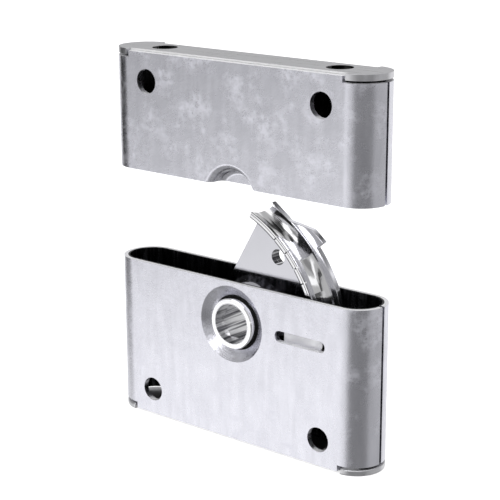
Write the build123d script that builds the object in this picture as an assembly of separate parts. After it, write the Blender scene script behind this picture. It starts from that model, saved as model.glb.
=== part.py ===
"""Coffin lock: two mortise-in sheet steel halves and a rotating hook that draws them together.

Frame, in millimetres: X runs along the lock, -Y is the face with the drive, Z is up. The origin
lies under the middle of the male half. The female half stands above it, as far off as it is
photographed, and the hook is half way out. Sizes of the hook are given from the drive axis.
"""
import os
from math import atan2, cos, degrees, hypot, radians, sin, sqrt

from build123d import *

# Both halves: a steel strip wrapped to a long rounded ring, closed by an end plate
LENGTH = 101.0
THICKNESS = 18.0
WALL = 1.9
MALE_HEIGHT = 52.1
FEMALE_HEIGHT = 38.2
HALVES_GAP = 30.3
SEAM = 1.0
EDGE_BREAK = 0.2

# End plates: narrow between the long walls, full width over the rounded ends
PLATE = 1.9
PLATE_PROUD = 0.7
PLATE_FIT = 0.25
END_GAP = 0.8
NOTCH = 0.9

# Screw holes through both faces and through the end plates
SCREW_HOLE = 7.8
SCREW_SPREAD = 67.5
MALE_SCREW_RISE = 9.0
FEMALE_SCREW_DROP = 9.7
END_HOLE = 8.0

# Drive: a hub with a hexagon socket, turning in bushes in two dished holes
DRIVE_HEIGHT = 38.6
DISH_RADIUS = 12.25
DISH_DEPTH = 2.4
BUSH_RADIUS = 8.9
BUSH_FLANGE_RADIUS = 10.6
BUSH_FLANGE = 0.7
BUSH_RECESS = 0.2
HUB_RADIUS = 8.1
HUB_FLANGE_RADIUS = 11.75
HUB_HEX = 17.0
SOCKET_HEX = 11.0
SOCKET_MOUTH_RADIUS = 6.4
SOCKET_MOUTH_DEPTH = 3.5
RUNNING_FIT = 0.06
AXIAL_PLAY = 0.1
SEATED_FIT = 0.02
CLAMP_RING = 1.2
CLAMP_RING_RADIUS = 11.2
SPRING_SHEET = 0.3
SPRING_BOW = 0.45
SPRING_RADIUS = 10.4

# Strikes: two dimples drawn into the female half's walls at its mouth
STRIKE_RADIUS = 10.8
STRIKE_WALL_RADIUS = 8.5
STRIKE_FLAT_RADIUS = 6.5
STRIKE_DEPTH = 4.9
STRIKE_DROP = 3.9

# Hook: two web sheets, a saddle-shaped rim around them and a guard plate behind the rim
HOOK_SHEET = 1.9
RIM_SHEET = 2.0
RIM_FRONT = 6.3
RIM_BACK = 4.3
RIM_SADDLE = 1.35
RIM_BACK_DROP = 0.5
RIM_WELD_GAP = 0.1
CREST_CENTRE_X = -12.2
CREST_CENTRE_Z = -4.45
CREST_RADIUS = 42.8
CREST_TIP_ANGLE = 65.9
CREST_END_ANGLE = 24.5
PULL_RADIUS = 22.0
PULL_END_ANGLE = -95.0
LEADING_EDGE_ANGLE = 60.0
WEB_HOLE = 4.9
WEB_HOLE_X = 12.9
WEB_HOLE_Z = 22.3
GUARD = 2.0
GUARD_PROUD = 1.4
RIM_NICK = 0.4
RIM_NICK_DEPTH = 1.2
RIM_NICK_ANGLES = (51.0, 43.8, 36.5, 29.9)
RIVET_RADIUS = 1.5
RIVET_CIRCLE = 17.0
RIVET_ANGLES = (-5.0, -50.0, -95.0)

# Corners of the guard plate, by their angle on the crest and their height over its line
BEAK_ROOT_ANGLE = 64.3
BEAK_ROOT_RISE = 1.3
BEAK_ANGLE = 67.1
BEAK_RISE = 2.5
EAR_FOOT_ANGLE = 56.3
EAR_FOOT_RISE = 1.4
EAR_LEAD_ANGLE = 46.8
EAR_LEAD_RISE = 5.8
EAR_TIP_ANGLE = 40.4
EAR_TIP_RISE = 6.5
EAR_BACK_ANGLE = 40.5

# Turn of the hook from where it is built, and the two pins that stop it
OPEN_ANGLE = -64.0
LOCK_ANGLE = 136.0
STOP_RADIUS = 2.0
STOP_SHANK_RADIUS = 1.25
STOP_REACH = 2.4
STOP_GAP = 0.15

# Detent leaf, seen behind the slot in the front face
SLOT_FROM = 17.2
SLOT_TO = 36.0
SLOT_HEIGHT = 3.6
LEAF_SHEET = 0.5
LEAF_TO = 33.8
LEAF_HEIGHT = 6.0
LEAF_FOOT = 15.6
LEAF_WINDOW_TO = 19.4
LEAF_WINDOW_HEIGHT = 3.8
LEAF_GAP = 0.3
DETENT_DEPTH = 0.7
DETENT_CUTTER = 4.0

# Places worked out from the sizes above
FACE = THICKNESS / 2
INSIDE = FACE - WALL
FEMALE_MOUTH = MALE_HEIGHT + HALVES_GAP
TOP = FEMALE_MOUTH + FEMALE_HEIGHT
ROUND_START = LENGTH / 2 - FACE
LIP = FACE - DISH_DEPTH - WALL


def stadium(inset, low, high):
    """A rounded-end block, the lock's outline drawn in by an inset, between two heights."""
    outline = SlotOverall(LENGTH - 2 * inset, THICKNESS - 2 * inset)
    return Pos(0, 0, low) * extrude(outline, high - low)


def block(x_from, x_to, y_from, y_to, z_from, z_to):
    """A box between two corners."""
    centre = Pos((x_from + x_to) / 2, (y_from + y_to) / 2, (z_from + z_to) / 2)
    return centre * Box(x_to - x_from, y_to - y_from, z_to - z_from)


def rod(radius, y_from, y_to, x, z):
    """A cylinder across the lock's thickness."""
    centre = Pos(x, (y_from + y_to) / 2, z)
    return centre * Rot(90, 0, 0) * Cylinder(radius, y_to - y_from)


def hexagon(across_flats, y_from, y_to, x, z):
    """A hexagonal prism across the lock's thickness."""
    outline = RegularPolygon(across_flats / 2, 6, major_radius=False)
    prism = extrude(outline, (y_to - y_from) / 2, both=True)
    return Pos(x, (y_from + y_to) / 2, z) * Rot(90, 0, 0) * prism


def turned(edges, x, z, start=0, span=360):
    """A profile of (radius, y) edges turned about an axis across the lock at x, z."""
    profile = Rot(0, -start, 0) * make_face(edges)
    return Pos(x, 0, z) * revolve(profile, Axis.Y, span)


def from_drive(point):
    """A point given from the drive axis, in the lock's X and Z."""
    return (point[0], DRIVE_HEIGHT + point[1])


def mirrored(solid):
    """The same solid on the back wall."""
    return mirror(solid, Plane.XZ)


def shell(low, high, plate_side):
    """The wrapped strip of one half: ring, seam, and the cut-back ends over the end plate."""
    ring = stadium(0, low, high) - stadium(WALL, low - 1, high + 1)
    ring -= block(ROUND_START, LENGTH / 2 + 1, -SEAM / 2, SEAM / 2, low - 1, high + 1)
    cut = PLATE - PLATE_PROUD + END_GAP
    edge = low if plate_side < 0 else high
    inner_edge = edge - plate_side * cut
    for side in (-1, 1):
        x_near = side * (ROUND_START - NOTCH / 2)
        x_far = side * (LENGTH / 2 + 1)
        ring -= block(min(x_near, x_far), max(x_near, x_far), -FACE - 1, FACE + 1,
                      min(edge, inner_edge) - (1 if plate_side < 0 else 0),
                      max(edge, inner_edge) + (1 if plate_side > 0 else 0))
    return ring


def end_plate(low):
    """A plate that is narrow between the long walls and full width over the rounded ends."""
    plate = stadium(0, low, low + PLATE)
    wide_from = ROUND_START + NOTCH / 2
    half_width = INSIDE - PLATE_FIT
    for side in (-1, 1):
        plate -= block(-wide_from, wide_from, min(side * half_width, side * (FACE + 1)),
                       max(side * half_width, side * (FACE + 1)), low - 1, low + PLATE + 1)
        plate -= Pos(side * SCREW_SPREAD / 2, 0, low + PLATE / 2) * Cylinder(END_HOLE / 2, PLATE + 2)
    return plate


def screw_holes(z):
    """The pair of screw holes through both walls."""
    return [rod(SCREW_HOLE / 2, -FACE - 1, FACE + 1, side * SCREW_SPREAD / 2, z) for side in (-1, 1)]


def dish_offset():
    """How far the dish's inner face lies from its outer face, in radius and in depth."""
    slope = DISH_RADIUS - BUSH_RADIUS
    length = hypot(slope, DISH_DEPTH)
    return WALL * DISH_DEPTH / length, WALL * slope / length


def dish_metal():
    """The dished metal round the front drive hole, as it stands inside the wall."""
    out, deep = dish_offset()
    per_depth = (DISH_RADIUS - BUSH_RADIUS) / DISH_DEPTH
    root = DISH_RADIUS + out - (WALL - deep) * per_depth
    tip = DISH_RADIUS + out - (DISH_DEPTH + WALL - deep) * per_depth
    points = [(0, -INSIDE - WALL / 2), (root, -INSIDE - WALL / 2), (root, -INSIDE), (tip, -LIP), (0, -LIP)]
    return turned(Polyline(*points, close=True), 0, DRIVE_HEIGHT)


def dish_hollow():
    """What the dish and its hole take out of the front wall."""
    floor = -FACE + DISH_DEPTH
    points = [(0, -FACE - 1), (DISH_RADIUS, -FACE - 1), (DISH_RADIUS, -FACE),
              (BUSH_RADIUS, floor), (BUSH_RADIUS, -LIP + 1), (0, -LIP + 1)]
    return turned(Polyline(*points, close=True), 0, DRIVE_HEIGHT)


def strike_profile(depth, wall_radius, shoulder, corner):
    """The outline of a drawn dimple, from the middle of its flat to the wall's face."""
    flat = STRIKE_FLAT_RADIUS
    face = FACE - (depth - STRIKE_DEPTH)
    floor = FACE - depth
    start = (0, -floor)
    lines = [Line(start, (flat, -floor)),
             TangentArc((flat, -floor), (flat + corner, -floor - corner), tangent=(1, 0)),
             Line((flat + corner, -floor - corner), (wall_radius, -face + shoulder)),
             TangentArc((wall_radius, -face + shoulder), (wall_radius + shoulder, -face), tangent=(0, -1))]
    close = -FACE - 1
    lines += [Line((wall_radius + shoulder, -face), (wall_radius + shoulder, close)),
              Line((wall_radius + shoulder, close), (0, close)),
              Line((0, close), start)]
    return lines


def strike(depth, wall_radius, shoulder, corner):
    """A dimple's solid of revolution at the female half's mouth."""
    edges = strike_profile(depth, wall_radius, shoulder, corner)
    return turned(edges, 0, FEMALE_MOUTH - STRIKE_DROP)


def make_male_shell():
    body = shell(PLATE_PROUD, MALE_HEIGHT, -1)
    body = body + dish_metal() + mirrored(dish_metal())
    body = body - dish_hollow() - mirrored(dish_hollow())
    for hole in screw_holes(MALE_SCREW_RISE):
        body -= hole
    slot = SlotOverall(SLOT_TO - SLOT_FROM, SLOT_HEIGHT)
    cut = extrude(slot, WALL, both=True)
    body -= Pos((SLOT_FROM + SLOT_TO) / 2, -FACE, DRIVE_HEIGHT) * Rot(90, 0, 0) * cut
    for place in (open_stop(), locked_stop()):
        body -= rod(STOP_SHANK_RADIUS, INSIDE - 1, FACE + 1, *from_drive(place))
    return body


def make_female_shell():
    body = shell(FEMALE_MOUTH, TOP - PLATE_PROUD, 1)
    shoulder = STRIKE_RADIUS - STRIKE_WALL_RADIUS
    corner = STRIKE_WALL_RADIUS - STRIKE_FLAT_RADIUS
    metal = strike(STRIKE_DEPTH + WALL, STRIKE_WALL_RADIUS + WALL, shoulder - WALL, corner + WALL)
    metal &= block(-FACE * 2, FACE * 2, -FACE, FACE, FEMALE_MOUTH, TOP)
    hollow = strike(STRIKE_DEPTH, STRIKE_WALL_RADIUS, shoulder, corner)
    body = body + metal + mirrored(metal)
    body = body - hollow - mirrored(hollow)
    for hole in screw_holes(TOP - FEMALE_SCREW_DROP):
        body -= hole
    return body


def make_bush():
    """A flanged bush in the front drive hole, its flange against the dish's lip."""
    bore = HUB_RADIUS + RUNNING_FIT
    front = -FACE + DISH_DEPTH + BUSH_RECESS
    back = -LIP + BUSH_FLANGE
    points = [(bore, front), (BUSH_RADIUS, front), (BUSH_RADIUS, -LIP), (BUSH_FLANGE_RADIUS, -LIP),
              (BUSH_FLANGE_RADIUS, back), (bore, back)]
    return turned(Polyline(*points, close=True), 0, DRIVE_HEIGHT)


def make_drive_hub():
    """The turned hub: two journals, a flange in front of the hook and a hexagon that drives it."""
    chamfer_size = EDGE_BREAK * 1.5
    flange_front = -LIP + BUSH_FLANGE + AXIAL_PLAY
    points = [(0, -FACE), (HUB_RADIUS - chamfer_size, -FACE), (HUB_RADIUS, -FACE + chamfer_size),
              (HUB_RADIUS, flange_front), (HUB_FLANGE_RADIUS, flange_front),
              (HUB_FLANGE_RADIUS, -HOOK_SHEET), (HUB_RADIUS, -HOOK_SHEET),
              (HUB_RADIUS, FACE - chamfer_size), (HUB_RADIUS - chamfer_size, FACE), (0, FACE)]
    hub = turned(Polyline(*points, close=True), 0, DRIVE_HEIGHT)
    hub += hexagon(HUB_HEX, -HOOK_SHEET - 0.5, HOOK_SHEET, 0, DRIVE_HEIGHT)
    hub -= hexagon(SOCKET_HEX, -FACE - 1, FACE + 1, 0, DRIVE_HEIGHT)
    for side in (-1, 1):
        ends = sorted((side * (FACE + 1), side * (FACE - SOCKET_MOUTH_DEPTH)))
        hub -= rod(SOCKET_MOUTH_RADIUS, *ends, 0, DRIVE_HEIGHT)
    reach = HUB_FLANGE_RADIUS - DETENT_DEPTH + DETENT_CUTTER / sqrt(2)
    for turn in (OPEN_ANGLE, LOCK_ANGLE):
        notch = Pos(reach, 0, 0) * Rot(0, 45, 0) * Box(DETENT_CUTTER, THICKNESS, DETENT_CUTTER)
        notch &= block(0, LENGTH, flange_front - AXIAL_PLAY, -HOOK_SHEET, -FACE, FACE)
        hub -= Pos(0, 0, DRIVE_HEIGHT) * Rot(0, turn, 0) * notch
    return hub


def make_clamp_ring():
    ring = rod(CLAMP_RING_RADIUS, HOOK_SHEET, HOOK_SHEET + CLAMP_RING, 0, DRIVE_HEIGHT)
    return ring - rod(HUB_RADIUS, 0, FACE, 0, DRIVE_HEIGHT)


def make_spring_washer():
    """A bowed spring washer between the clamp ring and the back bush."""
    inner = HUB_RADIUS + 4 * RUNNING_FIT
    bow = (SPRING_RADIUS ** 2 + SPRING_BOW ** 2) / (2 * SPRING_BOW)
    sheet = Cylinder(bow, 3 * SPRING_RADIUS) - Cylinder(bow - SPRING_SHEET, 3 * SPRING_RADIUS)
    ring = Cylinder(SPRING_RADIUS, FACE) - Cylinder(inner, FACE)
    low = HOOK_SHEET + CLAMP_RING + RUNNING_FIT
    high = LIP - BUSH_FLANGE - RUNNING_FIT
    middle = (low + high) / 2 + (SPRING_BOW + SPRING_SHEET) / 2
    washer = (Pos(0, middle - bow, 0) * sheet) & (Pos(0, middle, 0) * Rot(90, 0, 0) * ring)
    return Pos(0, 0, DRIVE_HEIGHT) * washer


def pull_centre():
    """Centre of the pulling arc, tangent to the crest where the crest ends."""
    angle = radians(CREST_END_ANGLE)
    step = CREST_RADIUS - PULL_RADIUS
    return (CREST_CENTRE_X + step * cos(angle), CREST_CENTRE_Z + step * sin(angle))


def on_crest(offset, angle):
    """A point on the crest arc, moved outward by an offset."""
    turn = radians(angle)
    reach = CREST_RADIUS + offset
    return (CREST_CENTRE_X + reach * cos(turn), CREST_CENTRE_Z + reach * sin(turn))


def on_pull(offset, angle):
    """A point on the pulling arc, moved outward by an offset."""
    turn = radians(angle)
    reach = PULL_RADIUS + offset
    centre = pull_centre()
    return (centre[0] + reach * cos(turn), centre[1] + reach * sin(turn))


def crest_angle(point):
    """The angle of a point as seen from the crest's centre."""
    return degrees(atan2(point[1] - CREST_CENTRE_Z, point[0] - CREST_CENTRE_X))


def round_drive(radius, angle):
    """A point on a circle round the drive axis."""
    return (radius * cos(radians(angle)), radius * sin(radians(angle)))


def stop_circle():
    """Radius of the stop pins' circle: they pass just over the guard behind its ear."""
    x, z = on_crest(RIM_SHEET + GUARD_PROUD, EAR_BACK_ANGLE)
    return hypot(x, z) + STOP_RADIUS + STOP_GAP


def stop_beside(point, turn, side):
    """Where a stop pin just meets a point of the guard, once the hook has turned."""
    circle = stop_circle()
    angle = degrees(atan2(point[1], point[0])) + turn
    return round_drive(circle, angle + side * degrees((STOP_RADIUS + STOP_GAP) / circle))


def open_stop():
    return stop_beside(on_crest(EAR_TIP_RISE, EAR_TIP_ANGLE), OPEN_ANGLE, -1)


def locked_stop():
    return stop_beside(on_crest(BEAK_RISE, BEAK_ANGLE), LOCK_ANGLE, 1)


def rim_curve(offset, start):
    """The rim's line from an angle on the crest to the tail, moved outward by an offset."""
    middle = (start + CREST_END_ANGLE) / 2
    crest = ThreePointArc(on_crest(offset, start), on_crest(offset, middle),
                          on_crest(offset, CREST_END_ANGLE))
    turn = (CREST_END_ANGLE + PULL_END_ANGLE) / 2
    pull = ThreePointArc(on_pull(offset, CREST_END_ANGLE), on_pull(offset, turn),
                         on_pull(offset, PULL_END_ANGLE))
    return [crest, pull]


def hook_plate(edges, y_from, y_to):
    """A flat sheet of the hook from edges drawn from the drive axis."""
    face = Plane.XZ * make_face(edges)
    sheet = extrude(face, -(y_to - y_from))
    return Pos(0, y_from, DRIVE_HEIGHT) * sheet


def leading_corner(offset):
    """Where the leading edge, tangent to the hub's flange, meets the rim's line."""
    along = radians(LEADING_EDGE_ANGLE)
    base = (-HUB_FLANGE_RADIUS * sin(along), HUB_FLANGE_RADIUS * cos(along))
    apart = (base[0] - CREST_CENTRE_X, base[1] - CREST_CENTRE_Z)
    half = apart[0] * cos(along) + apart[1] * sin(along)
    rest = apart[0] ** 2 + apart[1] ** 2 - (CREST_RADIUS + offset) ** 2
    reach = -half + sqrt(half ** 2 - rest)
    return base, (base[0] + reach * cos(along), base[1] + reach * sin(along))


def make_web(y_from, y_to):
    """One of the two web sheets, from the hub out to the rim."""
    offset = -RIM_SADDLE - RIM_WELD_GAP
    base, corner = leading_corner(offset)
    curve = rim_curve(offset, crest_angle(corner))
    tail = on_pull(offset, PULL_END_ANGLE)
    edges = [Line((0, 0), base), Line(base, corner), *curve, Line(tail, (0, 0))]
    web = hook_plate(edges, y_from, y_to)
    web += rod(HUB_FLANGE_RADIUS, y_from, y_to, 0, DRIVE_HEIGHT)
    web -= hexagon(HUB_HEX + 2 * SEATED_FIT, -FACE, FACE, 0, DRIVE_HEIGHT)
    web -= rod(WEB_HOLE / 2, -FACE, FACE, *from_drive((WEB_HOLE_X, WEB_HOLE_Z)))
    for place in rivet_places():
        web -= rod(RIVET_RADIUS, -FACE, FACE, *from_drive(place))
    return web


def rivet_places():
    """The three rivets, on a circle round the pulling arc's centre."""
    x, z = pull_centre()
    spots = [round_drive(RIVET_CIRCLE, angle) for angle in RIVET_ANGLES]
    return [(x + spot[0], z + spot[1]) for spot in spots]


def rim_profile(radius):
    """The rim's section: a saddle-shaped sheet, given from the centre of an arc."""
    front = -RIM_FRONT
    middle = (RIM_BACK - RIM_FRONT) / 2
    inner = [(radius, front), (radius - RIM_SADDLE, middle), (radius - RIM_BACK_DROP, RIM_BACK)]
    outer = [(x + RIM_SHEET, y) for x, y in inner]
    return [ThreePointArc(*inner), Line(inner[2], outer[2]), ThreePointArc(*reversed(outer)),
            Line(outer[0], inner[0])]


def make_rim():
    """The saddle-shaped rim, with four nicks in its front edge."""
    crest_at = from_drive((CREST_CENTRE_X, CREST_CENTRE_Z))
    pull_at = from_drive(pull_centre())
    crest = turned(rim_profile(CREST_RADIUS), *crest_at, start=CREST_TIP_ANGLE,
                   span=CREST_TIP_ANGLE - CREST_END_ANGLE)
    pull = turned(rim_profile(PULL_RADIUS), *pull_at, start=CREST_END_ANGLE,
                  span=CREST_END_ANGLE - PULL_END_ANGLE)
    rim = crest + pull
    for angle in RIM_NICK_ANGLES:
        nick = Box(4 * RIM_SHEET, 2 * RIM_NICK_DEPTH, RIM_NICK)
        spot = Pos(crest_at[0], -RIM_FRONT, crest_at[1]) * Rot(0, -angle, 0)
        rim -= spot * Pos(CREST_RADIUS, 0, 0) * nick
    return rim


def make_guard():
    """The plate behind the rim, with the beak and the stop ear on its outer edge."""
    outer = RIM_SHEET + GUARD_PROUD
    inner = -RIM_BACK_DROP
    corners = [on_crest(inner, BEAK_ROOT_ANGLE), on_crest(BEAK_ROOT_RISE, BEAK_ROOT_ANGLE),
               on_crest(BEAK_RISE, BEAK_ANGLE), on_crest(EAR_FOOT_RISE, EAR_FOOT_ANGLE),
               on_crest(EAR_LEAD_RISE, EAR_LEAD_ANGLE), on_crest(EAR_TIP_RISE, EAR_TIP_ANGLE),
               on_crest(outer, EAR_BACK_ANGLE)]
    edges = [Line(start, end) for start, end in zip(corners, corners[1:])]
    edges += rim_curve(outer, EAR_BACK_ANGLE)
    edges += [Line(on_pull(outer, PULL_END_ANGLE), on_pull(inner, PULL_END_ANGLE))]
    edges += rim_curve(inner, BEAK_ROOT_ANGLE)
    return hook_plate(edges, RIM_BACK, RIM_BACK + GUARD)


def make_rivets():
    """The flush rivets that hold the two web sheets together."""
    places = [from_drive(place) for place in rivet_places()]
    return Compound([rod(RIVET_RADIUS, -HOOK_SHEET, HOOK_SHEET, *place) for place in places])


def make_stop_pin(place):
    """A stop pin with its head inside and its shank riveted flush in the back wall."""
    x, z = from_drive(place)
    return rod(STOP_RADIUS, INSIDE - STOP_REACH, INSIDE, x, z) + rod(STOP_SHANK_RADIUS, 0, FACE, x, z) \
        - rod(STOP_RADIUS + 1, -1, INSIDE - STOP_REACH, x, z)


def make_detent_leaf():
    """A spring leaf on the front wall, its root slotted, with a tongue for the flange's notches."""
    front = -INSIDE
    back = front + LEAF_SHEET
    outline = SlotOverall(LEAF_TO - LEAF_FOOT + LEAF_HEIGHT / 2, LEAF_HEIGHT)
    flat = Rot(90, 0, 0) * extrude(outline, -LEAF_SHEET)
    flat = Pos((LEAF_TO + LEAF_FOOT - LEAF_HEIGHT / 2) / 2, front, DRIVE_HEIGHT) * flat
    flat &= block(LEAF_FOOT, LENGTH, front, back, 0, MALE_HEIGHT)
    tip = HUB_FLANGE_RADIUS + LEAF_GAP
    end = -HOOK_SHEET - LEAF_SHEET
    points = [(LEAF_FOOT, front), (LEAF_FOOT + 2 * LEAF_SHEET, back), (tip + LEAF_SHEET, end), (tip, end),
              (tip, end - 1), (LEAF_FOOT - LEAF_SHEET, front + LEAF_SHEET / 4)]
    tongue = extrude(make_face(Polyline(*points, close=True)), LEAF_HEIGHT / 2, both=True)
    half = LEAF_WINDOW_HEIGHT / 2
    window = block(LEAF_FOOT + 2 * LEAF_SHEET, LEAF_WINDOW_TO, front - 1, back + 1,
                   DRIVE_HEIGHT - half, DRIVE_HEIGHT + half)
    return flat + Pos(0, 0, DRIVE_HEIGHT) * tongue - window


def main():
    bush = make_bush()
    parts = {
        "male_shell": make_male_shell(),
        "male_end_plate": end_plate(0),
        "female_shell": make_female_shell(),
        "female_end_plate": end_plate(TOP - PLATE),
        "front_bush": bush,
        "back_bush": mirrored(bush),
        "drive_hub": make_drive_hub(),
        "clamp_ring": make_clamp_ring(),
        "spring_washer": make_spring_washer(),
        "hook_front_sheet": make_web(-HOOK_SHEET, 0),
        "hook_back_sheet": make_web(0, HOOK_SHEET),
        "hook_rim": make_rim(),
        "hook_guard": make_guard(),
        "hook_rivets": make_rivets(),
        "open_stop_pin": make_stop_pin(open_stop()),
        "locked_stop_pin": make_stop_pin(locked_stop()),
        "detent_leaf": make_detent_leaf(),
    }
    os.makedirs("parts", exist_ok=True)
    for name, solid in parts.items():
        solid.label = name
        export_step(solid, f"parts/{name}.step")


main()
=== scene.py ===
"""A coffin lock: two zinc plated sheet steel halves, a turning hub and a bright hook, part way out."""
import math

import bpy
from mathutils import Matrix, Quaternion, Vector


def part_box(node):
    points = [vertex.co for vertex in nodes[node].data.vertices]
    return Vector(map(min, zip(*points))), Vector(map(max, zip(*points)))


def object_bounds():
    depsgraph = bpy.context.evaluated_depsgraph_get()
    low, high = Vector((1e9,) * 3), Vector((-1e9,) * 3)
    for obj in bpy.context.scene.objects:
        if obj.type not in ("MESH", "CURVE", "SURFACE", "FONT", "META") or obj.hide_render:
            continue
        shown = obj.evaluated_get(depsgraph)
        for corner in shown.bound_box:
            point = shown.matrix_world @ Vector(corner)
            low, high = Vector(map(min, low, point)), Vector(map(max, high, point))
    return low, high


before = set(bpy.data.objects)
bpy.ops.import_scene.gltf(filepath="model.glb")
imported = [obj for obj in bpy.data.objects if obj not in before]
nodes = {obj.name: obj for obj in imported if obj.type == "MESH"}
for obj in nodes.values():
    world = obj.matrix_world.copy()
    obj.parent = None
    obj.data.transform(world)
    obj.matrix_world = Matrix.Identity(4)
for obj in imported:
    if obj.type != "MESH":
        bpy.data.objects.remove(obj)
cad_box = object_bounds()


# The two shells: mild steel strip, sheared, wrapped to a rounded ring and bright zinc plated.
# Passivated zinc is satin, with faint strokes down the sheet where it drained and clouds of
# paler, grainy bloom. Inside, the rings are painted dark as shade, with lighter streaks painted as
# reflections.
def linear(code):
    """sRGB hex code to a linear colour."""
    parts = [int(code[i:i + 2], 16) / 255 for i in (0, 2, 4)]
    return [c / 12.92 if c <= 0.04045 else ((c + 0.055) / 1.055) ** 2.4 for c in parts] + [1.0]


def add(tree, kind, inputs=(), **settings):
    """A shader node with its settings; inputs are values to set or sockets to link."""
    node = tree.nodes.new(kind)
    for name, value in settings.items():
        setattr(node, name, value)
    for key, value in dict(inputs).items():
        if isinstance(value, bpy.types.NodeSocket):
            tree.links.new(value, node.inputs[key])
        else:
            node.inputs[key].default_value = value
    return node


def new_material(name):
    """An empty material, its node tree, its shader and its place on the piece, in metres."""
    material = bpy.data.materials.new(name)
    material.use_nodes = True
    tree = material.node_tree
    place = add(tree, "ShaderNodeTexCoord").outputs["Object"]
    return material, tree, tree.nodes["Principled BSDF"], place


def dress(material, *names):
    """Gives the named pieces one material."""
    for name in names:
        nodes[name].data.materials.clear()
        nodes[name].data.materials.append(material)


SAME_PLACE = 2e-6


def break_edges(width, *names):
    """The small radius, in metres, that shearing and plating leave on a sheet metal piece's edges."""
    for name in names:
        nodes[name].modifiers.new("weld", "WELD").merge_threshold = SAME_PLACE
        flat = nodes[name].modifiers.new("flat", "DECIMATE")
        flat.decimate_type = "DISSOLVE"
        flat.angle_limit = math.radians(0.5)
        edge = nodes[name].modifiers.new("edge", "BEVEL")
        edge.width = width
        edge.segments = 2
        edge.limit_method = "ANGLE"
        edge.angle_limit = math.radians(35)
        nodes[name].modifiers.new("shading", "WEIGHTED_NORMAL").weight = 90


def looks_along(tree, axis):
    """How squarely a face looks along an axis, either way: 0 to 1."""
    normal = add(tree, "ShaderNodeNewGeometry").outputs["True Normal"]
    part = add(tree, "ShaderNodeSeparateXYZ", {0: normal}).outputs[axis]
    return add(tree, "ShaderNodeMath", {0: part}, operation="ABSOLUTE").outputs[0]


def reach_from(tree, place, x, z):
    """The distance from a line that runs along Y."""
    flat = add(tree, "ShaderNodeVectorMath", {0: place, 1: (1, 0, 1)}, operation="MULTIPLY")
    return add(tree, "ShaderNodeVectorMath", {0: flat.outputs[0], 1: (x, 0, z)},
               operation="DISTANCE").outputs["Value"]


HALF_LENGTH = (cad_box[1][0] - cad_box[0][0]) / 2
HALF_THICKNESS = cad_box[1][1]
ROUND_START = HALF_LENGTH - HALF_THICKNESS


def from_middle(tree, place):
    """The way out from the ring's middle line."""
    spot = add(tree, "ShaderNodeSeparateXYZ", {0: place})
    least = add(tree, "ShaderNodeMath", {0: spot.outputs["X"], 1: ROUND_START}, operation="MINIMUM")
    middle = add(tree, "ShaderNodeMath", {0: least.outputs[0], 1: -ROUND_START}, operation="MAXIMUM")
    off = add(tree, "ShaderNodeMath", {0: spot.outputs["X"], 1: middle.outputs[0]}, operation="SUBTRACT")
    return add(tree, "ShaderNodeCombineXYZ", {"X": off.outputs[0], "Y": spot.outputs["Y"]}).outputs[0]


def looks_in(tree, place):
    """1 where a face looks in on the ring's middle line."""
    unit = add(tree, "ShaderNodeVectorMath", {0: from_middle(tree, place)}, operation="NORMALIZE")
    normal = add(tree, "ShaderNodeNewGeometry").outputs["True Normal"]
    facing = add(tree, "ShaderNodeVectorMath", {0: unit.outputs[0], 1: normal}, operation="DOT_PRODUCT")
    looking = add(tree, "ShaderNodeMath", {0: facing.outputs["Value"], 1: -0.25}, operation="LESS_THAN")
    return looking.outputs[0]


def bloom(tree, place):
    """Where the passivation has bloomed: clouds 9 mm across, with a grain of 2.4 mm and finer."""
    cloud = add(tree, "ShaderNodeTexNoise", {"Vector": place, "Scale": 1 / 0.009, "Detail": 4.0,
                                             "Roughness": 0.6})
    grain = add(tree, "ShaderNodeTexNoise", {"Vector": place, "Scale": 1 / 0.0024, "Detail": 5.0,
                                             "Roughness": 0.8})
    near = add(tree, "ShaderNodeMapRange", {"Value": cloud.outputs["Fac"], "From Min": 0.46,
                                            "From Max": 0.64}, interpolation_type="SMOOTHSTEP")
    speck = add(tree, "ShaderNodeMapRange", {"Value": grain.outputs["Fac"], "From Min": 0.42,
                                             "From Max": 0.58})
    both = add(tree, "ShaderNodeMath", {0: near.outputs[0], 1: speck.outputs[0]}, operation="MULTIPLY")
    return both.outputs[0]


zinc, tree, shader, place = new_material("passivated_zinc_plate")
paler = bloom(tree, place)
# The strokes down the sheet are 3 mm wide and 14 mm long
drain = add(tree, "ShaderNodeMapping", {"Vector": place, "Scale": (1 / 0.003, 1 / 0.003, 1 / 0.014)})
stroke = add(tree, "ShaderNodeTexNoise", {"Vector": drain.outputs[0], "Scale": 1.0, "Detail": 4.0})
faint = add(tree, "ShaderNodeMapRange", {"Value": stroke.outputs["Fac"], "From Min": 0.35,
                                         "From Max": 0.65})
sheet = add(tree, "ShaderNodeMix", {"Factor": faint.outputs[0], 6: linear("d6d6de"),
                                    7: linear("e0e0e8")}, data_type="RGBA")
plate = add(tree, "ShaderNodeMix", {"Factor": paler, 6: sheet.outputs[2], 7: linear("f5f5fe")},
            data_type="RGBA")

# Painted shade inside, broken by lighter streaks 1.5 mm wide and 15 mm long that are painted reflections
PAINTED_SHADE = linear("242425")
streak_stretch = add(tree, "ShaderNodeMapping", {"Vector": place, "Scale": (1 / 0.0015, 1 / 0.0015, 1 / 0.015)})
shade_streaks = add(tree, "ShaderNodeTexNoise", {"Vector": streak_stretch.outputs[0], "Scale": 1.0, "Detail": 3.0})
thin = add(tree, "ShaderNodeMapRange", {"Value": shade_streaks.outputs["Fac"], "From Min": 0.45, "From Max": 0.75})
inside_shade = add(tree, "ShaderNodeMix", {"Factor": thin.outputs[0], 6: PAINTED_SHADE, 7: linear("77777c")},
            data_type="RGBA")
# Faces that look in on the ring's middle line take this painted shade
shaded_walls = add(tree, "ShaderNodeMix", {"Factor": looks_in(tree, place), 6: plate.outputs[2],
                                    7: inside_shade.outputs[2]}, data_type="RGBA")

# Sheared edges, which look along Z, are torn, so they scatter light more than they mirror it
torn = add(tree, "ShaderNodeMapRange", {"Value": looks_along(tree, "Z"), "From Min": 0.8,
                                        "From Max": 0.95})
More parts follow.
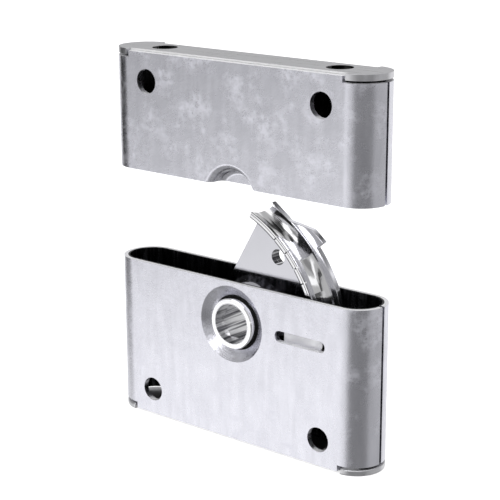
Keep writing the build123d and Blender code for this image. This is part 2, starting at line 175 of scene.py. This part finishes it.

# At the two mouths the inner 0.6 mm of such an edge is painted with the inside's dark shade
WALL = 0.0019
SHADED_EDGE_DEPTH = 0.0006
mouths = (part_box("male_shell")[1][2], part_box("female_shell")[0][2])
MOUTHS_MIDDLE = (mouths[0] + mouths[1]) / 2
MOUTHS_REACH = (mouths[1] - mouths[0]) / 2 + WALL
away = add(tree, "ShaderNodeVectorMath", {0: from_middle(tree, place)}, operation="LENGTH")
within = add(tree, "ShaderNodeMath", {0: away.outputs["Value"], 1: HALF_THICKNESS - WALL + SHADED_EDGE_DEPTH},
             operation="LESS_THAN")
spot = add(tree, "ShaderNodeSeparateXYZ", {0: place})
mouth = add(tree, "ShaderNodeMath", {0: spot.outputs["Z"], 1: MOUTHS_MIDDLE, 2: MOUTHS_REACH},
            operation="COMPARE")
painted_shade_rim = add(tree, "ShaderNodeMath", {0: within.outputs[0], 1: mouth.outputs[0]}, operation="MULTIPLY")
edge = add(tree, "ShaderNodeMix", {"Factor": painted_shade_rim.outputs[0], 6: linear("f4f4f7"), 7: PAINTED_SHADE},
           data_type="RGBA")
final = add(tree, "ShaderNodeMix", {"Factor": torn.outputs[0], 6: shaded_walls.outputs[2],
                                    7: edge.outputs[2]}, data_type="RGBA")
tree.links.new(final.outputs[2], shader.inputs["Base Color"])
satin = add(tree, "ShaderNodeMapRange", {"Value": paler, "To Min": 0.27, "To Max": 0.42})
rough = add(tree, "ShaderNodeMath", {0: torn.outputs[0], 1: 0.3, 2: satin.outputs[0]},
            operation="MULTIPLY_ADD")
tree.links.new(rough.outputs[0], shader.inputs["Roughness"])
metal = add(tree, "ShaderNodeMapRange", {"Value": torn.outputs[0], "To Min": 1.0, "To Max": 0.1})
tree.links.new(metal.outputs[0], shader.inputs["Metallic"])

# Rolled sheet is faintly wavy every 6 mm, under a 0.5 mm grain
wave = add(tree, "ShaderNodeTexNoise", {"Vector": place, "Scale": 1 / 0.006, "Detail": 2.0})
grain = add(tree, "ShaderNodeTexNoise", {"Vector": place, "Scale": 1 / 0.0005, "Detail": 2.0})
wavy = add(tree, "ShaderNodeBump", {"Height": wave.outputs["Fac"], "Strength": 1.0, "Distance": 0.00006})
bump = add(tree, "ShaderNodeBump", {"Height": grain.outputs["Fac"], "Strength": 0.2,
                                    "Distance": 0.0001, "Normal": wavy.outputs[0]})

# The dish round the drive is spun down over a former, which leaves rings every 0.3 mm
hub_low, hub_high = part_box("drive_hub")
DRIVE_HEIGHT = (hub_low[2] + hub_high[2]) / 2
DISH_REACH = 0.0123
DISH_FADE = 0.0001
RING = 0.0003
RING_HEIGHT = 0.00005
reach = reach_from(tree, place, 0, DRIVE_HEIGHT)
rings = add(tree, "ShaderNodeMath", {0: reach, 1: 1 / RING}, operation="MULTIPLY")
lines = add(tree, "ShaderNodeTexNoise", {"W": rings.outputs[0], "Scale": 1.0}, noise_dimensions="1D")
dish = add(tree, "ShaderNodeMapRange", {"Value": reach, "From Min": DISH_REACH,
                                        "From Max": DISH_REACH - DISH_FADE, "To Max": RING_HEIGHT})
spun = add(tree, "ShaderNodeBump", {"Height": lines.outputs["Fac"], "Strength": 1.0,
                                    "Distance": dish.outputs[0], "Normal": bump.outputs[0]})
tree.links.new(spun.outputs[0], shader.inputs["Normal"])
dress(zinc, "male_shell", "female_shell")
break_edges(0.00022, "male_shell", "female_shell")


# The end plates: blanked from the same strip, pressed into the rings' ends and tacked there.
# They are zinc plated like the rings, a little greyer and without the bloom. The strip's
# rolling lines run along them, 1.2 mm apart and 20 mm long.
blank, tree, shader, place = new_material("zinc_plated_blank")
stretch = add(tree, "ShaderNodeMapping", {"Vector": place, "Scale": (1 / 0.02, 1 / 0.0012, 1 / 0.004)})
line = add(tree, "ShaderNodeTexNoise", {"Vector": stretch.outputs[0], "Scale": 1.0, "Detail": 3.0})
lined = add(tree, "ShaderNodeMapRange", {"Value": line.outputs["Fac"], "From Min": 0.3, "From Max": 0.7})
plate = add(tree, "ShaderNodeMix", {"Factor": lined.outputs[0], 6: linear("cfcfd2"),
                                    7: linear("dedee2")}, data_type="RGBA")

# The long edges, which lie between the rings' walls, are torn by the shear and scatter light.
# Their colour is painted light: grey as painted shade on the foot plate, white as a painted highlight on the
# top one
square = add(tree, "ShaderNodeMapRange", {"Value": looks_along(tree, "Y"), "From Min": 0.93,
                                          "From Max": 0.98})
spot = add(tree, "ShaderNodeSeparateXYZ", {0: place})
off = add(tree, "ShaderNodeMath", {0: spot.outputs["Y"]}, operation="ABSOLUTE")
between = add(tree, "ShaderNodeMath", {0: off.outputs[0], 1: HALF_THICKNESS - WALL / 2},
              operation="LESS_THAN")
torn = add(tree, "ShaderNodeMath", {0: square.outputs[0], 1: between.outputs[0]}, operation="MULTIPLY")
lit_top_plate = add(tree, "ShaderNodeMath", {0: spot.outputs["Z"], 1: MOUTHS_MIDDLE}, operation="GREATER_THAN")
edge = add(tree, "ShaderNodeMix", {"Factor": lit_top_plate.outputs[0], 6: linear("7c7c80"),
                                   7: linear("ffffff")}, data_type="RGBA")
outside = add(tree, "ShaderNodeMix", {"Factor": torn.outputs[0], 6: plate.outputs[2],
                                      7: edge.outputs[2]}, data_type="RGBA")
# Faces that look in on the ring's middle line are painted near black as shade
final = add(tree, "ShaderNodeMix", {"Factor": looks_in(tree, place), 6: outside.outputs[2],
                                    7: linear("1c1c1d")}, data_type="RGBA")
tree.links.new(final.outputs[2], shader.inputs["Base Color"])
satin = add(tree, "ShaderNodeMapRange", {"Value": lined.outputs[0], "To Min": 0.26, "To Max": 0.36})
rough = add(tree, "ShaderNodeMath", {0: torn.outputs[0], 1: 0.3, 2: satin.outputs[0]},
            operation="MULTIPLY_ADD")
tree.links.new(rough.outputs[0], shader.inputs["Roughness"])
metal = add(tree, "ShaderNodeMapRange", {"Value": torn.outputs[0], "To Min": 1.0, "To Max": 0.1})
tree.links.new(metal.outputs[0], shader.inputs["Metallic"])
dress(blank, "male_end_plate", "female_end_plate")
break_edges(0.00035, "male_end_plate", "female_end_plate")


# The drive hub and the clamp ring: turned from steel bar, broached, then bright nickel plated.
# Nickel over a turned face is near mirror, with rings of 0.15 mm feed drawn here at 0.3 mm.
def nickel_plate(name, tone, roughness, lay, height):
    """Bright nickel: lay gives the ripple's coordinates, in ripples, height its height in metres."""
    material, tree, shader, place = new_material(name)
    haze = add(tree, "ShaderNodeTexNoise", {"Vector": place, "Scale": 1 / 0.005, "Detail": 3.0})
    cloudy = add(tree, "ShaderNodeMapRange", {"Value": haze.outputs["Fac"], "From Min": 0.3,
                                              "From Max": 0.7, "To Min": roughness * 0.6,
                                              "To Max": roughness * 1.5})
    tree.links.new(cloudy.outputs[0], shader.inputs["Roughness"])
    shader.inputs["Base Color"].default_value = tone
    shader.inputs["Metallic"].default_value = 1.0
    lines = add(tree, "ShaderNodeTexNoise", {"Vector": lay(tree, place), "Scale": 1.0, "Detail": 2.0})
    bump = add(tree, "ShaderNodeBump", {"Height": lines.outputs["Fac"], "Strength": 1.0,
                                        "Distance": height})
    tree.links.new(bump.outputs[0], shader.inputs["Normal"])
    return material, tree, shader, place


def round_point(x, z, around, outward, across):
    """Ripples round a line along Y: radians for one around it, metres outward and across."""
    def lay(tree, place):
        centre = add(tree, "ShaderNodeVectorMath", {0: place, 1: (x, 0, z)}, operation="SUBTRACT")
        part = add(tree, "ShaderNodeSeparateXYZ", {0: centre.outputs[0]})
        angle = add(tree, "ShaderNodeMath", {0: part.outputs["Z"], 1: part.outputs["X"]},
                    operation="ARCTAN2")
        polar = add(tree, "ShaderNodeCombineXYZ", {"X": angle.outputs[0], "Y": reach_from(tree, place, x, z),
                                                   "Z": part.outputs["Y"]})
        return add(tree, "ShaderNodeVectorMath", {
            0: polar.outputs[0], 1: (1 / around, 1 / outward, 1 / across)},
            operation="MULTIPLY").outputs[0]
    return lay


def bore_wall(tree, place, x, z, reach):
    """1 on the wall of a hole along Y: the faces within reach that look across it."""
    within = add(tree, "ShaderNodeMath", {0: reach_from(tree, place, x, z), 1: reach},
                 operation="LESS_THAN")
    across = add(tree, "ShaderNodeMath", {0: looks_along(tree, "Y"), 1: 0.5}, operation="LESS_THAN")
    return add(tree, "ShaderNodeMath", {0: within.outputs[0], 1: across.outputs[0]},
               operation="MULTIPLY").outputs[0]


def set_steps(ramp, *steps):
    """Gives a colour ramp flat steps: each one's start and grey, the first from 0."""
    ramp.interpolation = "CONSTANT"
    ramp.elements.remove(ramp.elements[1])
    for start, grey in steps:
        step = ramp.elements.new(start) if start else ramp.elements[0]
        step.color = (grey, grey, grey, 1)


HUB_TONE = linear("fafafc")
HUB_GLOSS = 0.07
FEED_HEIGHT = 0.000004
SOCKET_REACH = 0.00645
SOCKET_CORNER = 0.0064
HUB_REACH = 0.0080
feed_lines = round_point(0, DRIVE_HEIGHT, around=3.0, outward=RING, across=0.004)
turned, tree, shader, place = nickel_plate("turned_nickel_plate", HUB_TONE, roughness=HUB_GLOSS,
                                           lay=feed_lines, height=FEED_HEIGHT)

# The socket is torn by the broach in dull and bright streaks, 2 mm wide and as long as the bore
socket = bore_wall(tree, place, 0, DRIVE_HEIGHT, SOCKET_REACH)
streaks = round_point(0, DRIVE_HEIGHT, around=0.3, outward=1.0, across=0.05)(tree, place)
streak = add(tree, "ShaderNodeTexNoise", {"Vector": streaks, "Scale": 1.0, "Detail": 3.0,
                                          "Roughness": 0.6})
dull = add(tree, "ShaderNodeMapRange", {"Value": streak.outputs["Fac"], "From Min": 0.55,
                                        "From Max": 0.42}, interpolation_type="SMOOTHSTEP")
worn = add(tree, "ShaderNodeMath", {0: dull.outputs[0], 1: socket}, operation="MULTIPLY")
tone = add(tree, "ShaderNodeMix", {"Factor": worn.outputs[0], 6: HUB_TONE, 7: linear("74747a")},
           data_type="RGBA")

# The end face carries dark rings of painted shade where grooves would lie: near its inner and its outer
# edge, and a fainter one between
across = add(tree, "ShaderNodeMapRange", {"Value": reach_from(tree, place, 0, DRIVE_HEIGHT),
                                          "From Min": SOCKET_CORNER, "From Max": HUB_REACH})
painted_groove_shade = add(tree, "ShaderNodeValToRGB", {"Fac": across.outputs[0]})
set_steps(painted_groove_shade.color_ramp, (0, 0), (0.06, 0.7), (0.15, 0), (0.55, 0.25), (0.63, 0), (0.88, 0.6),
          (0.95, 0))
end_face = add(tree, "ShaderNodeMath", {0: looks_along(tree, "Y"), 1: 0.9}, operation="GREATER_THAN")
groove_shade_mask = add(tree, "ShaderNodeMath", {0: painted_groove_shade.outputs["Color"], 1: end_face.outputs[0]},
              operation="MULTIPLY")
final = add(tree, "ShaderNodeMix", {"Factor": groove_shade_mask.outputs[0], 6: tone.outputs[2],
                                    7: linear("6c6c72")}, data_type="RGBA")
tree.links.new(final.outputs[2], shader.inputs["Base Color"])
gloss = add(tree, "ShaderNodeMapRange", {"Value": socket, "To Min": HUB_GLOSS, "To Max": 0.3})
tree.links.new(gloss.outputs[0], shader.inputs["Roughness"])
feed = add(tree, "ShaderNodeMapRange", {"Value": socket, "To Min": FEED_HEIGHT, "To Max": 0.0})
tree.links.new(feed.outputs[0], tree.nodes["Bump"].inputs["Distance"])
dress(turned, "drive_hub", "clamp_ring")


# The hook's two web sheets and their rivets: blanked steel, riveted, ground flush and nickel
# plated. The flats are bright, with faint clouds where the polish was uneven.
def evenly(size):
    """The same ripple each way, its size in metres."""
    return lambda tree, place: add(tree, "ShaderNodeVectorMath", {0: place, 1: (1 / size,) * 3},
                                   operation="MULTIPLY").outputs[0]


WEB_TONE = linear("d4d4da")
WEB_HOLE = (0.0129, DRIVE_HEIGHT + 0.0223)
WEB_HOLE_REACH = 0.00275
web, tree, shader, place = nickel_plate("polished_nickel_plate", WEB_TONE, roughness=0.10,
                                        lay=evenly(0.006), height=0.000008)

# The wall of the hole through the webs is painted dark as shade, with brighter streaks along it painted as
# highlights
streaks = round_point(*WEB_HOLE, around=0.5, outward=1.0, across=0.02)(tree, place)
streak = add(tree, "ShaderNodeTexNoise", {"Vector": streaks, "Scale": 1.0, "Detail": 2.0})
painted_highlights = add(tree, "ShaderNodeMapRange", {"Value": streak.outputs["Fac"], "From Min": 0.45,
                                          "From Max": 0.62})
painted_hole_wall = add(tree, "ShaderNodeMix", {"Factor": painted_highlights.outputs[0], 6: linear("4a4a4e"),
                                      7: linear("e8e8ec")}, data_type="RGBA")
final = add(tree, "ShaderNodeMix", {"Factor": bore_wall(tree, place, *WEB_HOLE, WEB_HOLE_REACH),
                                    6: WEB_TONE, 7: painted_hole_wall.outputs[2]}, data_type="RGBA")
tree.links.new(final.outputs[2], shader.inputs["Base Color"])
dress(web, "hook_front_sheet", "hook_back_sheet", "hook_rivets")
break_edges(0.00015, "hook_front_sheet", "hook_back_sheet")


# The rim: strip pressed to a saddle section, bent round the webs and welded to them.
# It shows the press tool's draw lines along its length under the bright plating. On its front face three
# dark lines of painted shade run along it, at its two edges and down its middle.
RIM_TONE = linear("f0f0f2")
CREST = (-0.0122, DRIVE_HEIGHT - 0.00445)
CREST_RADIUS = 0.0428
PULL_RADIUS = 0.022
PULL_FROM = math.radians(24.5)
PULL = (CREST[0] + (CREST_RADIUS - PULL_RADIUS) * math.cos(PULL_FROM),
        CREST[1] + (CREST_RADIUS - PULL_RADIUS) * math.sin(PULL_FROM))
RIM_SHEET = 0.002
draw_lines = round_point(*CREST, around=0.6, outward=0.005, across=0.0017)
drawn, tree, shader, place = nickel_plate("drawn_nickel_plate", RIM_TONE, roughness=0.08,
                                          lay=draw_lines, height=0.00007)


def sheet_depth(centre, radius):
    """How far out through the rim's sheet a place lies, from 0 to 1, on one of its two arcs."""
    return add(tree, "ShaderNodeMapRange", {"Value": reach_from(tree, place, *centre), "From Min": radius,
                                            "From Max": radius + RIM_SHEET}).outputs[0]


centred = add(tree, "ShaderNodeVectorMath", {0: place, 1: (CREST[0], 0, CREST[1])}, operation="SUBTRACT")
part = add(tree, "ShaderNodeSeparateXYZ", {0: centred.outputs[0]})
angle = add(tree, "ShaderNodeMath", {0: part.outputs["Z"], 1: part.outputs["X"]}, operation="ARCTAN2")
on_crest = add(tree, "ShaderNodeMath", {0: angle.outputs[0], 1: PULL_FROM}, operation="GREATER_THAN")
depth = add(tree, "ShaderNodeMix", {"Factor": on_crest.outputs[0], 2: sheet_depth(PULL, PULL_RADIUS),
                                    3: sheet_depth(CREST, CREST_RADIUS)})
# Dark lines of painted shade across the sheet's depth, on the front face only
painted_shade_lines = add(tree, "ShaderNodeValToRGB", {"Fac": depth.outputs[0]})
set_steps(painted_shade_lines.color_ramp, (0, 1), (0.14, 0), (0.52, 1), (0.62, 0), (0.86, 1))
side = add(tree, "ShaderNodeSeparateXYZ", {0: add(tree, "ShaderNodeNewGeometry").outputs["True Normal"]})
front = add(tree, "ShaderNodeMath", {0: side.outputs["Y"], 1: -0.9}, operation="LESS_THAN")
line = add(tree, "ShaderNodeMath", {0: painted_shade_lines.outputs["Color"], 1: front.outputs[0]}, operation="MULTIPLY")
final = add(tree, "ShaderNodeMix", {"Factor": line.outputs[0], 6: RIM_TONE, 7: linear("3c3c40")},
            data_type="RGBA")
tree.links.new(final.outputs[2], shader.inputs["Base Color"])
dress(drawn, "hook_rim")


# The guard behind the rim, with its beak and ear, and the stop pins: blanked and headed steel,
# tumbled before the nickel plating, which leaves it a little softer than the webs.
guard = nickel_plate("tumbled_nickel_plate", linear("e4e4ea"), roughness=0.16, lay=evenly(0.003),
                     height=0.00001)[0]
dress(guard, "hook_guard", "open_stop_pin", "locked_stop_pin")
break_edges(0.0002, "hook_guard")


# The bushes: moulded black acetal, a matt plastic that slides well on plated steel.
# The mould's spark-eroded grain of 0.2 mm takes away its shine.
acetal, tree, shader, place = new_material("moulded_black_acetal")
spark = add(tree, "ShaderNodeTexNoise", {"Vector": place, "Scale": 1 / 0.0002, "Detail": 1.0})
bump = add(tree, "ShaderNodeBump", {"Height": spark.outputs["Fac"], "Strength": 0.4,
                                    "Distance": 0.00003})
tree.links.new(bump.outputs[0], shader.inputs["Normal"])
shader.inputs["Base Color"].default_value = linear("060607")
shader.inputs["Roughness"].default_value = 0.6
shader.inputs["Specular IOR Level"].default_value = 0.25
dress(acetal, "front_bush", "back_bush")


# The detent leaf and the bowed washer: cold rolled spring steel strip, blanked and nickel plated.
# Its rolling lines run along X, 0.4 mm apart and 10 mm long, and leave it satin.
def rolling_lines(tree, place):
    """Ripples as the rolling lines lie."""
    return add(tree, "ShaderNodeVectorMath", {0: place, 1: (1 / 0.01, 1 / 0.0004, 1 / 0.0004)},
               operation="MULTIPLY").outputs[0]


spring = nickel_plate("rolled_spring_steel", linear("ececf0"), roughness=0.5, lay=rolling_lines,
                      height=0.000006)[0]
dress(spring, "detent_leaf", "spring_washer")


# The floor: white paint, matt. To the camera its own glow makes it white, with the lock's
# shadow on it. Metal doesn't see it, and mirrors the lower half of the studio in its place.
FLOOR_REACH = 20
FLOOR_GLOW = 0.6
floor_mesh = bpy.data.meshes.new("floor")
corners = [(x * FLOOR_REACH, y * FLOOR_REACH, 0) for x, y in ((-1, -1), (1, -1), (1, 1), (-1, 1))]
floor_mesh.from_pydata(corners, [], [(0, 1, 2, 3)])
floor = bpy.data.objects.new("floor", floor_mesh)
bpy.context.scene.collection.objects.link(floor)
floor.visible_glossy = False
paint, tree, shader = new_material("white_floor_paint")[:3]
shader.inputs["Base Color"].default_value = linear("f4f4f4")
shader.inputs["Roughness"].default_value = 0.9
ray = add(tree, "ShaderNodeLightPath")
tree.links.new(ray.outputs["Is Camera Ray"], shader.inputs["Emission Strength"])
shader.inputs["Emission Color"].default_value = (FLOOR_GLOW, FLOOR_GLOW, FLOOR_GLOW, 1)
floor.data.materials.append(paint)


# The studio: what lights the lock and what its metal mirrors, which isn't the white background.
# Grey screens stand all round, under a bright ceiling of diffusers, and flags and strip lights
# give the bright work its darks and streaks. They are placed for this camera's view.
world = bpy.data.worlds.new("studio")
bpy.context.scene.world = world
world.use_nodes = True
tree = world.node_tree
back = tree.nodes["Background"]
ray = add(tree, "ShaderNodeLightPath")
towards = add(tree, "ShaderNodeTexCoord").outputs["Generated"]
height = add(tree, "ShaderNodeSeparateXYZ", {0: towards}).outputs["Z"]


def level(under, from_height, to_height, value):
    """Changes the brightness from one elevation to another, in degrees."""
    share = add(tree, "ShaderNodeMapRange", {
        "Value": height, "From Min": math.sin(math.radians(from_height)),
        "From Max": math.sin(math.radians(to_height))}, interpolation_type="SMOOTHSTEP")
    return add(tree, "ShaderNodeMix", {"Factor": share.outputs[0], 2: under, 3: value}).outputs[0]


def panel(under, azimuth, elevation, long, high, value, tilt=0, soft=0.3):
    """A panel of another brightness: its place, half sizes and tilt are in degrees."""
    a, e = math.radians(azimuth), math.radians(elevation)
    ahead = Vector((math.cos(a) * math.cos(e), math.sin(a) * math.cos(e), math.sin(e)))
    across = Vector((-math.sin(a), math.cos(a), 0))
    upward = ahead.cross(across)
    turn = Matrix.Rotation(math.radians(tilt), 3, ahead)
    axes = Matrix((turn @ across, turn @ upward, ahead)).transposed()
    local = add(tree, "ShaderNodeMapping", {
        "Vector": towards, "Rotation": axes.to_euler("XYZ"),
        "Scale": (math.sin(math.radians(long)), math.sin(math.radians(high)), 1)}, vector_type="TEXTURE")
    part = add(tree, "ShaderNodeSeparateXYZ", {0: local.outputs[0]})
    sides = [add(tree, "ShaderNodeMath", {0: part.outputs[axis]}, operation="ABSOLUTE").outputs[0]
             for axis in ("X", "Y")]
    most = add(tree, "ShaderNodeMath", {0: sides[0], 1: sides[1]}, operation="MAXIMUM")
    share = add(tree, "ShaderNodeMapRange", {"Value": most.outputs[0], "From Min": 1 + soft,
                                             "From Max": 1 - soft}, interpolation_type="SMOOTHSTEP")
    front = add(tree, "ShaderNodeMath", {0: part.outputs["Z"], 1: 0.0}, operation="GREATER_THAN")
    shown = add(tree, "ShaderNodeMath", {0: share.outputs[0], 1: front.outputs[0]}, operation="MULTIPLY")
    return add(tree, "ShaderNodeMix", {"Factor": shown.outputs[0], 2: under, 3: value}).outputs[0]


# Below, a dim floor and a white band; then grey screens all round, under the ceiling's diffusers
light = level(0.36, -34, -26, 1.0)
light = level(light, 2, 7, 0.48)
light = level(light, 46, 50, 1.35)
# In front: a low strip, a grey card and a white one, which the flat faces mirror
light = panel(light, -122, -25, 24, 6, 1.5)
light = panel(light, -129, -4, 30, 9, 0.48)
light = panel(light, -112, -9, 8, 17, 1.06)
# Flags at the sides, which darken the rings' bends, and a lamp that lights the dish
light = panel(light, -42, -17, 46, 17, 0.24)
light = panel(light, 25, -15, 32, 20, 0.52)
light = panel(light, -166, -4, 22, 14, 0.02, soft=0.2)
light = panel(light, -84, 28, 10, 9, 4.0, soft=0.2)
# Two bright strips, with a dark flag below each, cross the hook's rim
light = panel(light, 56, 31, 11, 6, 0.25)
light = panel(light, 70, 46, 4, 3, 0.28)
light = panel(light, 54, 57, 5, 4, 0.28)
light = panel(light, 72, 37, 4, 6, 0.05)
light = panel(light, 42, 31, 11, 2.5, 1.1, tilt=-61)
light = panel(light, 61, 17, 14, 2.5, 1.1, tilt=-20)
light = panel(light, 34, 25, 12, 2.2, 0.06, tilt=-51)
light = panel(light, 58, 9, 14, 2.5, 0.10, tilt=-21)
light = panel(light, 70, 3, 5, 3, 0.06)
light = panel(light, 34, 13, 6, 2.5, 0.62, tilt=-35)
light = panel(light, -3, 9, 24, 3.5, 0.02)
# A tall flag behind the hook, between a strip light and a bright card
light = panel(light, 114, 38, 5, 17, 1.1)
light = panel(light, 87, 52, 4.5, 13, 0.06)
light = panel(light, 93, 33, 5.5, 6, 0.01)
light = panel(light, 101, 23, 10, 2.5, 0.05, tilt=-47)
light = panel(light, 96, 17, 10, 2, 1.0, tilt=-35)
# Only the camera, and what would be seen through glass, has the plain white background
seen = add(tree, "ShaderNodeMath", {0: ray.outputs["Is Camera Ray"],
                                    1: ray.outputs["Is Transmission Ray"]}, operation="MAXIMUM")
strength = add(tree, "ShaderNodeMix", {"Factor": seen.outputs[0], 2: light, 3: 1.0})
tree.links.new(strength.outputs[0], back.inputs["Strength"])
back.inputs["Color"].default_value = (1, 1, 1, 1)


# The camera: a long lens, a little above, to the right of the front.
# It aims just above the middle of the lock and is rolled by a fifth of a degree.
LENS = 105.25
CAMERA_AT = Vector((0.27686, -0.33773, 0.18359))
AIM = Vector((0.00034, 0.0, 0.06056))
ROLL = math.radians(-0.206)
camera_data = bpy.data.cameras.new("camera")
camera_data.lens = LENS
camera_data.clip_start = 0.01
camera = bpy.data.objects.new("camera", camera_data)
bpy.context.scene.collection.objects.link(camera)
bpy.context.scene.camera = camera
camera.location = CAMERA_AT
camera.rotation_mode = "QUATERNION"
camera.rotation_quaternion = (AIM - CAMERA_AT).to_track_quat("-Z", "Y") @ Quaternion((0, 0, 1), ROLL)
bpy.context.scene.view_settings.view_transform = "Standard"
